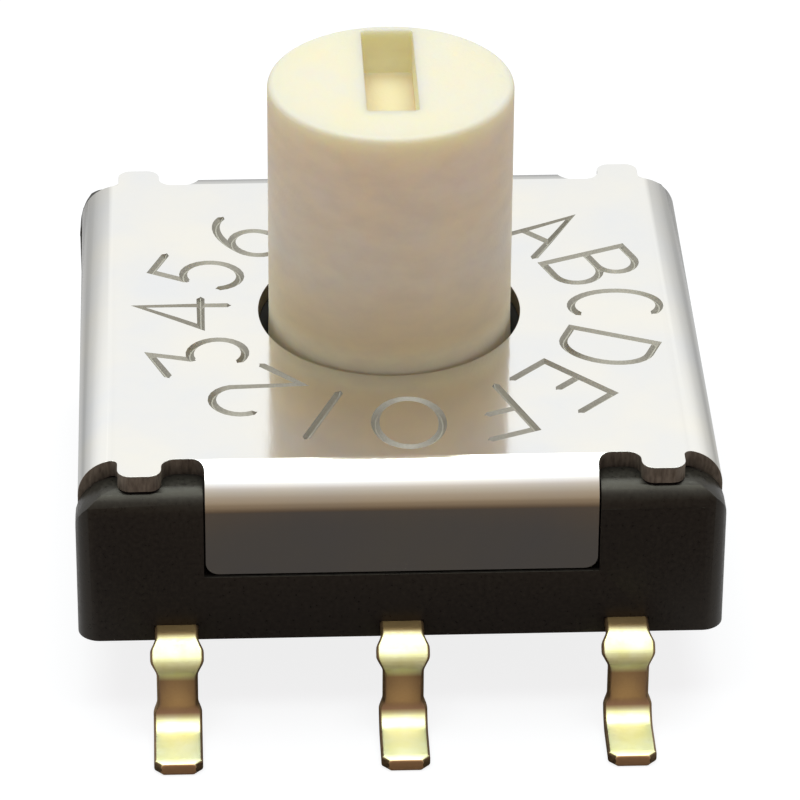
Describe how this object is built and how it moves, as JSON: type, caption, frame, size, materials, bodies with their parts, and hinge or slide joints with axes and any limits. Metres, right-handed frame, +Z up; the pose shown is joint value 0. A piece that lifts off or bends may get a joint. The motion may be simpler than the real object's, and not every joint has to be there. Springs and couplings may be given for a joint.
{
  "type": "rotary dip switch",
  "caption": "Sealed rotary coded switch for surface mounting: square black housing, folded steel cover with a numbered dial, tall slotted shaft that clicks round, gull-wing leads.",
  "frame": {"origin": "centre of the footprint on the circuit board, under the shaft's axis", "axes": "+Z up the shaft, leads leave towards -Y and +Y, the dial's 0 is at -Y and its 8 at +Y"},
  "size_m": [0.0074, 0.0098, 0.0061],
  "materials": {
    "housing_black": "moulded, satin",
    "cover_steel": "bright rolled sheet",
    "shaft_ivory": "moulded, fine matt",
    "lead_gold": "gold plated, bright",
    "contact_gold": "gold plated, bright",
    "spring_steel": "rolled",
    "seal_rubber": "matt",
    "seal_resin": "cast, smooth"
  },
  "bodies": {
    "housing": {"base": "housing_black", "cover": "cover_steel", "cover_gasket": "seal_rubber", "bottom_seal": "seal_resin", "click_spring": "spring_steel", "terminal_1": "lead_gold", "terminal_2": "lead_gold", "terminal_4": "lead_gold", "terminal_8": "lead_gold", "terminal_common_front": "lead_gold", "terminal_common_back": "lead_gold", "contact_1": "contact_gold", "contact_2": "contact_gold", "contact_4": "contact_gold", "contact_8": "contact_gold", "contact_common_front": "contact_gold", "contact_common_back": "contact_gold"},
    "rotor": {"rotor": "shaft_ivory", "code_disc": "contact_gold", "o_ring": "seal_rubber"}
  },
  "joints": [
    {"name": "shaft_turn", "type": "hinge", "parent": "housing", "child": "rotor", "pos_m": [0, 0, 0.00305], "axis": [0, 0, 1], "continuous": true, "deforming": ["click_spring"]}
  ]
}
